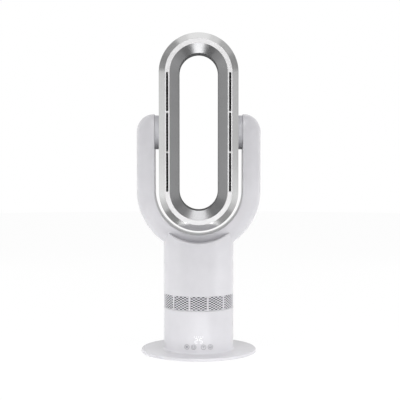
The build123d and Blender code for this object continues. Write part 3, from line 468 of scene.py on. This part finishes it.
def widen_slots(mesh):
    """Moves the panel's slot edges outwards: points within the slot's width step away from its middle."""
    points = np.empty(len(mesh.vertices) * 3)
    mesh.vertices.foreach_get("co", points)
    points = points.reshape(-1, 3)
    side = np.abs(points[:, 0]) - SLOT_MIDDLE
    edge = np.abs(np.abs(side) - SLOT_WIDTH / 2) < SLOT_EDGE_REACH
    above = points[:, 2] > LOOP_ENDS[0] - SLOT_END_REACH
    below = points[:, 2] < LOOP_ENDS[1] + SLOT_END_REACH
    step = np.where(edge & above & below, SLOT_REVEAL, 0.0)
    points[:, 0] += np.sign(points[:, 0]) * np.sign(side) * step
    mesh.vertices.foreach_set("co", points.ravel())


class HEATER_OT_shells(bpy.types.Operator):
    """Shows each outer shell as a merged copy of its solid, smooth up to its creases."""

    bl_idname = "heater.shells"
    bl_label = "Smooth shells"

    def execute(self, context):
        for name in SHELLS:
            mesh = frame["nodes"][name].data.copy()
            mesh.name = name + "_skin"
            shape = bmesh.new()
            shape.from_mesh(mesh)
            bmesh.ops.remove_doubles(shape, verts=shape.verts, dist=MERGE)
            shape.to_mesh(mesh)
            shape.free()
            if name == "loop_face_panel":
                widen_slots(mesh)
            for attribute in ("custom_normal", "sharp_face", "sharp_edge"):
                if attribute in mesh.attributes:
                    mesh.attributes.remove(mesh.attributes[attribute])
            mesh.polygons.foreach_set("use_smooth", np.ones(len(mesh.polygons), bool))
            mesh.set_sharp_from_angle(angle=math.radians(CREASE_DEGREES))
            made = bpy.data.objects.new(name + "_skin", mesh)
            context.scene.collection.objects.link(made)
            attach(made, body_name(name))
            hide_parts(name)
        return {"FINISHED"}


# Band of intake holes
PANELS = 12
RIB_WIDTH = 4.2 * MM
BAND_EDGE = 1.4 * MM
PLATE_SINK = 0.6 * MM
PLATE_THICKNESS = 1.0 * MM
HOLE_COLUMNS = 4
ROW_STEPS = 12
CELL_TIP = 4.5 * MM
RIM_POINTS = 12
HOLE_POWER = 0.9
LEAST_FACE = 1e-10
WELD_REACH = 0.02 * MM
CLOTH_GAP = 0.3 * MM
CLOTH_THICKNESS = 0.3 * MM
RIB_DEPTH = 2.2 * MM
BAND = (GRILLE[0][2] + BAND_EDGE / 2, GRILLE[1][2] - BAND_EDGE / 2)


def hole_cell(pitch, row_height, hole_half_width, hole_half_height):
    """One flat hexagon of plate with a lens-shaped hole: twelve points round each, in the same order.

    The hexagon is two rows high, so that staggered cells lock together. Its tips lie at CELL_TIP to
    each side, and its level edges fill what is left of half a pitch. The hole is a superellipse.
    """
    tip, flat = CELL_TIP, pitch / 2 - CELL_TIP
    middle = (tip + flat) / 2
    outer = np.array([
        (-flat, -2), (0, -2), (flat, -2), (middle, -1), (tip, 0), (middle, 1),
        (flat, 2), (0, 2), (-flat, 2), (-middle, 1), (-tip, 0), (-middle, -1)], float)
    outer[:, 1] *= row_height / 2
    turn = np.arctan2(outer[:, 1] / hole_half_height, outer[:, 0] / hole_half_width)
    across, up = np.cos(turn), np.sin(turn)
    hole = np.stack([np.sign(across) * np.abs(across) ** HOLE_POWER * hole_half_width,
                     np.sign(up) * np.abs(up) ** HOLE_POWER * hole_half_height], axis=1)
    return outer, hole


def band_plate():
    """All cells of the band as flat arc length and height, cut level at both edges, then bent round.

    Rows of cells lie half a cell apart and every second row is moved by half a pitch. Heights beyond
    the band are set to its edge, which leaves half cells there, and faces without area are dropped.
    Arc length s and height z become (R cos(s/R), R sin(s/R), z).
    """
    radius = COLUMN_RADIUS - PLATE_SINK
    low, high = BAND
    pitch = 2 * math.pi * radius / PANELS / HOLE_COLUMNS
    row_height = (high - low) / ROW_STEPS
    outer, hole = hole_cell(pitch, row_height, settings().hole_width / 2, settings().hole_height / 2)
    row, column = np.meshgrid(np.arange(ROW_STEPS + 1), np.arange(PANELS * HOLE_COLUMNS), indexing="ij")
    s = (column + 0.5 + 0.5 * (row % 2)) * pitch
    z = low + row * row_height
    centre = np.stack([s, z], axis=-1).reshape(-1, 1, 2)
    flat = np.concatenate([centre + outer, centre + hole], axis=1).reshape(-1, 2)
    height = np.clip(flat[:, 1], low, high)
    angle = flat[:, 0] / radius - math.pi / PANELS
    points = np.stack([radius * np.cos(angle), radius * np.sin(angle), height], axis=1)
    k = np.arange(RIM_POINTS)
    k2 = (k + 1) % RIM_POINTS
    quad = np.stack([k, k2, k2 + RIM_POINTS, k + RIM_POINTS], axis=1)
    cells = np.arange(len(centre))[:, None, None] * 2 * RIM_POINTS
    faces = (quad[None] + cells).reshape(-1, 4)
    corner = points[faces]
    area = np.linalg.norm(np.cross(corner[:, 2] - corner[:, 0], corner[:, 3] - corner[:, 1]), axis=1) / 2
    return points, faces[area > LEAST_FACE]


def curved_bar(centre_angle, width, inner, outer, low, high, steps=5):
    """An upright bar that follows the column: a small rectangle of angle and radius, drawn upwards."""
    half = width / outer / 2
    a = centre_angle + np.linspace(-half, half, steps)
    loop_angle = np.concatenate([a, a[::-1]])
    loop_radius = np.concatenate([np.full(steps, outer), np.full(steps, inner)])
    ring = np.stack([loop_radius * np.cos(loop_angle), loop_radius * np.sin(loop_angle)], axis=1)
    count = len(ring)
    points = np.concatenate([np.column_stack([ring, np.full(count, low)]),
                             np.column_stack([ring, np.full(count, high)])])
    return points, grid_faces(2, count, wrap_columns=True)


class HEATER_OT_grille(bpy.types.Operator):
    """Builds the perforated intake band with its ribs and rims."""

    bl_idname = "heater.grille"
    bl_label = "Intake grille"

    def execute(self, context):
        points, faces = band_plate()
        plate = piece("grille_plate", points, faces, grille_abs, "head", "grille_plastic", smooth=False)
        weld = plate.modifiers.new("weld", "WELD")
        weld.merge_threshold = WELD_REACH
        solid = plate.modifiers.new("thickness", "SOLIDIFY")
        solid.thickness = PLATE_THICKNESS
        solid.offset = -1
        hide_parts("intake_grille")
        cloth_radius = COLUMN_RADIUS - PLATE_SINK - PLATE_THICKNESS - CLOTH_GAP
        cloth = hoop(cloth_radius - CLOTH_THICKNESS, cloth_radius, *BAND)
        piece("grille_cloth", *cloth, filter_cloth, "head", "grille_plastic")
        low, high = GRILLE[0][2], GRILLE[1][2]
        inner = COLUMN_RADIUS - RIB_DEPTH
        step = 2 * math.pi / PANELS
        parts = [curved_bar((index + 0.5) * step, RIB_WIDTH, inner, COLUMN_RADIUS, low, high)
                 for index in range(PANELS)]
        piece("grille_ribs", *joined(parts), lacquered_abs, "head", "column_plastic", smooth=False)
        rims = [hoop(inner, COLUMN_RADIUS, low, low + BAND_EDGE),
                hoop(inner, COLUMN_RADIUS, high - BAND_EDGE, high)]
        piece("grille_rims", *joined(rims), lacquered_abs, "head", "column_plastic", smooth=False)
        return {"FINISHED"}


def key_centre(name):
    low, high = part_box(name)
    return (low[0] + high[0]) / 2, (low[2] + high[2]) / 2


RING_RADIUS = 5.75 * MM
MARK_LIFT = 0.04 * MM
MARK_THICKNESS = 0.06 * MM


def mode_mark(width):
    """Four rounded fan blades about a hub: circles on a circle."""
    parts = [stroke(arc(1.25 * MM, 0, 360, 25, (2.1 * MM * math.cos(a), 2.1 * MM * math.sin(a))), width)
             for a in np.radians((45, 135, 225, 315))]
    parts.append(stroke(arc(0.45 * MM, 0, 360, 17), width))
    return parts


def timer_mark(width):
    """A clock: an open ring with two hands."""
    return [
        stroke(arc(3.1 * MM, -250, 70), width),
        stroke(segment((0, 0), (0, 2.1 * MM)), width),
        stroke(segment((0, 0), (1.6 * MM, -0.9 * MM)), width),
    ]


def swing_mark(width):
    """Two arcs over a dot, as for a head that turns."""
    return [
        stroke(arc(3.4 * MM, 25, 155, centre=(0, -1.2 * MM)), width),
        stroke(arc(1.9 * MM, 35, 145, centre=(0, -1.2 * MM)), width),
        stroke(arc(0.5 * MM, 0, 360, 17, centre=(0, -1.6 * MM)), width),
    ]


def power_mark(width):
    """A broken ring with a short bar in its gap, over a level bar."""
    return [
        stroke(arc(3.0 * MM, 125, 415), width),
        stroke(segment((0, 1.4 * MM), (0, 3.9 * MM)), width),
        stroke(segment((-1.7 * MM, -0.6 * MM), (1.7 * MM, -0.6 * MM)), 1.6 * width),
    ]


class HEATER_OT_key_marks(bpy.types.Operator):
    """Prints a ring and a plain symbol on each key."""

    bl_idname = "heater.key_marks"
    bl_label = "Key marks"

    def execute(self, context):
        width = settings().line_width
        for name, draw in zip(KEY_NODES, (mode_mark, timer_mark, swing_mark, power_mark)):
            parts = [stroke(arc(RING_RADIUS, 0, 360, 73)[:-1], width, closed=True)] + draw(width)
            film(name + "_mark", parts, key_centre(name), COLUMN_RADIUS + MARK_LIFT, MARK_THICKNESS,
                 printed_ink, name, "column_plastic")
        return {"FINISHED"}


# Lit segments: top, upper left, upper right, middle, lower left, lower right, bottom
DIGITS = {"2": (1, 0, 1, 1, 1, 0, 1), "5": (1, 1, 0, 1, 0, 1, 1)}
SHOWN = "25"
SEGMENT = 1.15 * MM
DIGIT_SIZE = (8.0 * MM, 12.2 * MM)
DIGIT_PITCH = 11.3 * MM
DOT_COUNT = 5
DOT_LENGTH = 1.8 * MM
DOT_HEIGHT = 1.6 * MM
DOT_INSET = 1.0 * MM


def digit_parts(character, x):
    """Bars of one seven-segment digit, drawn as strokes between the corners of a slim rectangle."""
    half_width = DIGIT_SIZE[0] / 2 - SEGMENT / 2
    half_height = DIGIT_SIZE[1] / 2 - SEGMENT / 2
    cut = 0.7 * SEGMENT
    ends = [
        ((-half_width + cut, half_height), (half_width - cut, half_height)),
        ((-half_width, cut), (-half_width, half_height - cut)),
        ((half_width, cut), (half_width, half_height - cut)),
        ((-half_width + cut, 0), (half_width - cut, 0)),
        ((-half_width, -half_height + cut), (-half_width, -cut)),
        ((half_width, -half_height + cut), (half_width, -cut)),
        ((-half_width + cut, -half_height), (half_width - cut, -half_height)),
    ]
    move = np.array((x, 0))
    return [stroke(segment(a, b, 4) + move, SEGMENT) for lit, (a, b) in zip(DIGITS[character], ends) if lit]


class HEATER_OT_display(bpy.types.Operator):
    """Shows the display's light on the front of the stand."""

    bl_idname = "heater.display"
    bl_label = "Display"

    def execute(self, context):
        low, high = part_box("digit_segments")
        centre = ((low[0] + high[0]) / 2, (low[2] + high[2]) / 2)
        parts = []
        for index, character in enumerate(SHOWN):
            parts += digit_parts(character, (index - 0.5) * DIGIT_PITCH)
        film("lit_digits", parts, centre, COLUMN_RADIUS + MARK_LIFT, MARK_THICKNESS, lit_film, "base",
             "light_guide")
        low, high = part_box("indicator_lights")
        level = (low[2] + high[2]) / 2
        spots = np.linspace(low[0] + DOT_INSET, high[0] - DOT_INSET, DOT_COUNT)
        half = DOT_LENGTH / 2
        dots = [stroke(segment((x - half, 0), (x + half, 0), 4), DOT_HEIGHT) for x in spots]
        film("lit_indicators", dots, (0, level), COLUMN_RADIUS + MARK_LIFT, MARK_THICKNESS, lit_film, "base",
             "light_guide")
        return {"FINISHED"}


def racetrack(radius, low, high, steps=48):
    """Points of a racetrack in x and z: half a turn round each end's centre, joined by the straights."""
    top = arc(radius, 0, 180, steps, centre=(0, high))
    bottom = arc(radius, 180, 360, steps, centre=(0, low))
    return np.concatenate([top, bottom])


class HEATER_OT_lining(bpy.types.Operator):
    """Lines the loop's hole behind the inner bevel with a matt grey sheet: painted shade of the deep hole."""

    bl_idname = "heater.lining"
    bl_label = "Hole lining"

    def execute(self, context):
        radius = HOLE_RADIUS - LINING_GAP
        track = racetrack(radius, *LOOP_ENDS)
        depth = np.linspace(RING[0][1] + BEVEL_DEPTH, LOOP_REAR - REAR_ROUND, LINING_STEPS)
        across = np.broadcast_to(track[None, :, :], (len(depth), len(track), 2))
        depths = np.broadcast_to(depth[:, None], across.shape[:2])
        points = np.stack([across[..., 0], depths, across[..., 1]], axis=-1)
        # The grey sheet is painted shade inside the hole, laid over the lacquered wall
        piece("hole_shade_lining", points, grid_faces(len(depth), len(track), wrap_columns=True), hole_shade_grey, "loop",
              "dark_chrome")
        return {"FINISHED"}


COVE_RADIUS = 3.2 * MM
COVE_SINK = 0.2 * MM


class HEATER_OT_trim(bpy.types.Operator):
    """Rounds the foot of the column into the disc with a soft cove."""

    bl_idname = "heater.trim"
    bl_label = "Foot cove"

    def execute(self, context):
        floor = LOWER_SHELL[0][2]
        top = floor + COVE_RADIUS
        curve = arc(COVE_RADIUS, 180, 270, 9, centre=(COLUMN_RADIUS + COVE_RADIUS, top))
        skin = COLUMN_RADIUS - COVE_SINK
        profile = np.concatenate([curve, [(skin, floor), (skin, top)]])
        piece("foot_cove", *turned(profile), lacquered_abs, "base", "column_plastic")
        return {"FINISHED"}


class HEATER_OT_finishes(bpy.types.Operator):
    """Gives every CAD piece its own finish."""

    bl_idname = "heater.finishes"
    bl_label = "Finishes"

    def execute(self, context):
        left = set(frame["nodes"])
        for make, names in FINISHES.items():
            for name in names:
                mesh = frame["nodes"][name].data
                mesh.materials.clear()
                mesh.materials.append(finish_of(make))
                left.discard(name)
        if left:
            raise RuntimeError(f"no finish for {sorted(left)}")
        return {"FINISHED"}


# Strengths and greys of the white surroundings and floor, and the floor's radius in metres
WORLD_LIGHT = 0.42
FLOOR_GLOW = 0.955
FLOOR_SHADE = 0.055
FLOOR_GREY = 0.85
FLOOR_RADIUS = 6


def background_ray(tree):
    """The socket that is 1 where the camera, a reflection or a clear material looks at the background."""
    path = node(tree, "ShaderNodeLightPath")
    seen = node(tree, "ShaderNodeMath", None,
                {0: path.outputs["Is Camera Ray"], 1: path.outputs["Is Glossy Ray"]},
                operation="MAXIMUM")
    seen = node(tree, "ShaderNodeMath", None, {0: seen.outputs[0], 1: path.outputs["Is Transmission Ray"]},
                operation="MAXIMUM")
    return seen.outputs[0]


def floor_material():
    """White floor: nearly white to the camera, and it keeps a faint shadow."""
    material = bpy.data.materials.new("studio_floor")
    material.use_nodes = True
    tree = material.node_tree
    tree.nodes.clear()
    glow = node(tree, "ShaderNodeEmission", {"Color": (1, 1, 1, 1), "Strength": FLOOR_GLOW})
    thin = node(tree, "ShaderNodeBsdfDiffuse", {"Color": opaque((FLOOR_SHADE,) * 3)})
    bright = node(tree, "ShaderNodeAddShader", None, {0: glow.outputs[0], 1: thin.outputs[0]})
    plain = node(tree, "ShaderNodeBsdfDiffuse", {"Color": opaque((FLOOR_GREY,) * 3)})
    mix = node(tree, "ShaderNodeMixShader", None,
               {0: background_ray(tree), 1: plain.outputs[0], 2: bright.outputs[0]})
    node(tree, "ShaderNodeOutputMaterial", None, {"Surface": mix.outputs[0]})
    return material


def white_world():
    """Even white surroundings: white to the camera and to reflections, softer as a light."""
    world = bpy.data.worlds.new("studio")
    world.use_nodes = True
    tree = world.node_tree
    tree.nodes.clear()
    white = node(tree, "ShaderNodeBackground", {"Color": (1, 1, 1, 1), "Strength": 1.0})
    soft = node(tree, "ShaderNodeBackground", {"Color": (1, 1, 1, 1), "Strength": WORLD_LIGHT})
    mix = node(tree, "ShaderNodeMixShader", None,
               {0: background_ray(tree), 1: soft.outputs[0], 2: white.outputs[0]})
    node(tree, "ShaderNodeOutputWorld", None, {"Surface": mix.outputs[0]})
    bpy.context.scene.world = world


MIDDLE = (0.0, 0.0, 0.42)
# Name, place, aim, size and power of each softbox
LAMPS = (
    ("left_box", (-1.9, -0.9, 0.9), MIDDLE, (1.0, 1.8), 10.3),
    ("right_box", (1.9, -0.9, 0.9), MIDDLE, (1.0, 1.8), 9.6),
    ("top_box", (0.0, -0.45, 2.3), MIDDLE, (1.1, 0.9), 14.0),
    ("front_box", (0.0, -1.5, 0.06), MIDDLE, (2.4, 0.25), 3.0),
    ("low_box", (0.0, -0.60, 0.06), (0.0, 0.0, 0.05), (1.6, 0.12), 0.5),
    ("low_left_box", (-0.62, -0.3, 0.1), (0.0, 0.0, 0.1), (0.3, 0.15), 1.2),
    ("low_right_box", (0.62, -0.3, 0.1), (0.0, 0.0, 0.1), (0.3, 0.15), 1.4),
    ("foot_box", (0.0, -0.24, 0.035), (0.0, 0.0, 0.0), (0.5, 0.03), 0.07),
    ("back_left_box", (-1.6, 1.6, 0.9), MIDDLE, (0.8, 1.6), 8.0),
    ("back_right_box", (1.6, 1.6, 0.9), MIDDLE, (0.8, 1.6), 8.0),
)
# Cards that only reflections see, as place, aim, size and brightness
CARDS = (
    ("floor_card", (0.0, -0.30, 0.012), (0.0, -0.30, 1.0), (0.32, 0.28), 4.4),
    ("glint_card", (0.0, -0.22, 0.84), (0.0, -0.22, 0.0), (0.30, 0.16), 3.3),
    ("crown_card", (0.0, -0.77, 2.29), (0.0, -0.77, 0.0), (0.9, 0.6), 1.25),
    ("left_flag", (-1.9, -1.55, 1.45), (0.0, -1.55, 1.45), (1.3, 1.0), 0.34),
    ("right_flag", (1.9, -1.55, 1.45), (0.0, -1.55, 1.45), (1.3, 1.0), 0.38),
    ("left_inner_flag", (-1.9, -0.6, 1.45), (0.0, -0.6, 1.45), (0.6, 1.0), 0.72),
    ("right_inner_flag", (1.9, -0.6, 1.45), (0.0, -0.6, 1.45), (0.6, 1.0), 0.72),
    ("left_high_flag", (-1.5, -1.3, 2.25), (0.0, -0.6, 0.7), (1.0, 1.0), 0.42),
    ("right_high_flag", (1.5, -1.3, 2.25), (0.0, -0.6, 0.7), (1.0, 1.0), 0.6),
    ("left_floor_flag", (-0.42, -0.40, 0.01), (-0.42, -0.40, 1.0), (0.36, 0.5), 0.34),
    ("right_floor_flag", (0.42, -0.40, 0.01), (0.42, -0.40, 1.0), (0.36, 0.5), 0.42),
    ("left_far_flag", (-0.95, -0.38, 0.01), (-0.95, -0.38, 1.0), (0.7, 0.5), 0.78),
    ("right_far_flag", (0.95, -0.38, 0.01), (0.95, -0.38, 1.0), (0.7, 0.5), 0.78),
    ("left_low_card", (-1.92, -1.55, 0.14), (0.0, -1.55, 0.14), (1.3, 0.48), 1.25),
    ("right_card", (1.92, -1.55, 0.65), (0.0, -1.55, 0.65), (1.3, 0.54), 0.72),
    ("right_low_card", (1.92, -1.55, 0.14), (0.0, -1.55, 0.14), (1.3, 0.48), 1.08),
)


def facing(place, aim):
    """Turns that point an object's -Z from its place to an aim."""
    away = np.array(place) - np.array(aim)
    flat = math.hypot(away[0], away[1])
    return (math.atan2(flat, away[2]), 0, math.atan2(away[0], -away[1]))


def softbox(name, place, aim, size, power):
    """A rectangular lamp at a place, turned to its aim."""
    light = bpy.data.lights.new(name, "AREA")
    light.shape = "RECTANGLE"
    light.size, light.size_y = size
    light.energy = power * settings().light_level
    made = bpy.data.objects.new(name, light)
    made.location = place
    made.rotation_euler = facing(place, aim)
    made.visible_camera = False
    made.visible_glossy = False
    bpy.context.scene.collection.objects.link(made)


def card(name, place, aim, size, brightness):
    """A plain card of the studio that shows only in reflections, as a photographer shapes metal."""
    material = bpy.data.materials.new(name)
    material.use_nodes = True
    tree = material.node_tree
    tree.nodes.clear()
    glow = node(tree, "ShaderNodeEmission", {"Color": (1, 1, 1, 1), "Strength": brightness})
    node(tree, "ShaderNodeOutputMaterial", None, {"Surface": glow.outputs[0]})
    x, y = size[0] / 2, size[1] / 2
    mesh = bpy.data.meshes.new(name)
    mesh.from_pydata([(-x, -y, 0), (x, -y, 0), (x, y, 0), (-x, y, 0)], [], [(0, 1, 2, 3)])
    mesh.materials.append(material)
    made = bpy.data.objects.new(name, mesh)
    made.location = place
    made.rotation_euler = facing(place, aim)
    for ray in ("camera", "diffuse", "transmission", "volume_scatter", "shadow"):
        setattr(made, "visible_" + ray, False)
    bpy.context.scene.collection.objects.link(made)
    return made


class HEATER_OT_stage(bpy.types.Operator):
    """Sets the pale floor, the soft lamps, the reflection cards and the camera at the photograph's view."""

    bl_idname = "heater.stage"
    bl_label = "Studio"

    def execute(self, context):
        scene = context.scene
        scene.view_settings.view_transform = "Standard"
        white_world()
        a = np.linspace(0, 2 * math.pi, 64, endpoint=False)
        ring = FLOOR_RADIUS * np.stack([np.cos(a), np.sin(a), np.zeros(len(a))], axis=1)
        mesh = bpy.data.meshes.new("floor")
        mesh.from_pydata(ring.tolist(), [], [list(range(len(a)))])
        mesh.materials.append(floor_material())
        floor = bpy.data.objects.new("floor", mesh)
        scene.collection.objects.link(floor)
        for lamp in LAMPS:
            softbox(*lamp)
        [card(*values) for values in CARDS]
        camera_data = bpy.data.cameras.new("camera")
        camera_data.sensor_width = SENSOR_MM
        camera_data.lens = FOCAL_PIXELS / PHOTO_WIDTH * SENSOR_MM
        camera = bpy.data.objects.new("camera", camera_data)
        camera.location = EYE
        camera.rotation_euler = (math.radians(90 - PITCH_DOWN), 0, 0)
        scene.collection.objects.link(camera)
        scene.camera = camera
        return {"FINISHED"}


STEPS = (
    HEATER_OT_stage,
    HEATER_OT_finishes,
    HEATER_OT_shells,
    HEATER_OT_grille,
    HEATER_OT_key_marks,
    HEATER_OT_display,
    HEATER_OT_lining,
    HEATER_OT_trim,
)


class HEATER_PT_panel(bpy.types.Panel):
    """Lists the steps that dress the heater."""

    bl_label = "Tower Fan Heater"
    bl_space_type = "VIEW_3D"
    bl_region_type = "UI"
    bl_category = "Heater"

    def draw(self, context):
        for name in HeaterSettings.__annotations__:
            self.layout.prop(context.scene.heater, name)
        for step in STEPS:
            self.layout.operator(step.bl_idname)


CLASSES = (HeaterSettings, *STEPS, HEATER_PT_panel)


def register():
    for cls in CLASSES:
        bpy.utils.register_class(cls)
    bpy.types.Scene.heater = bpy.props.PointerProperty(type=HeaterSettings)


def unregister():
    del bpy.types.Scene.heater
    for cls in reversed(CLASSES):
        bpy.utils.unregister_class(cls)


def main():
    register()
    bpy.ops.heater.stage()
    bpy.ops.heater.finishes()
    bpy.ops.heater.shells()
    bpy.ops.heater.grille()
    bpy.ops.heater.key_marks()
    bpy.ops.heater.display()
    bpy.ops.heater.lining()
    bpy.ops.heater.trim()


if __name__ == "__main__":
    main()
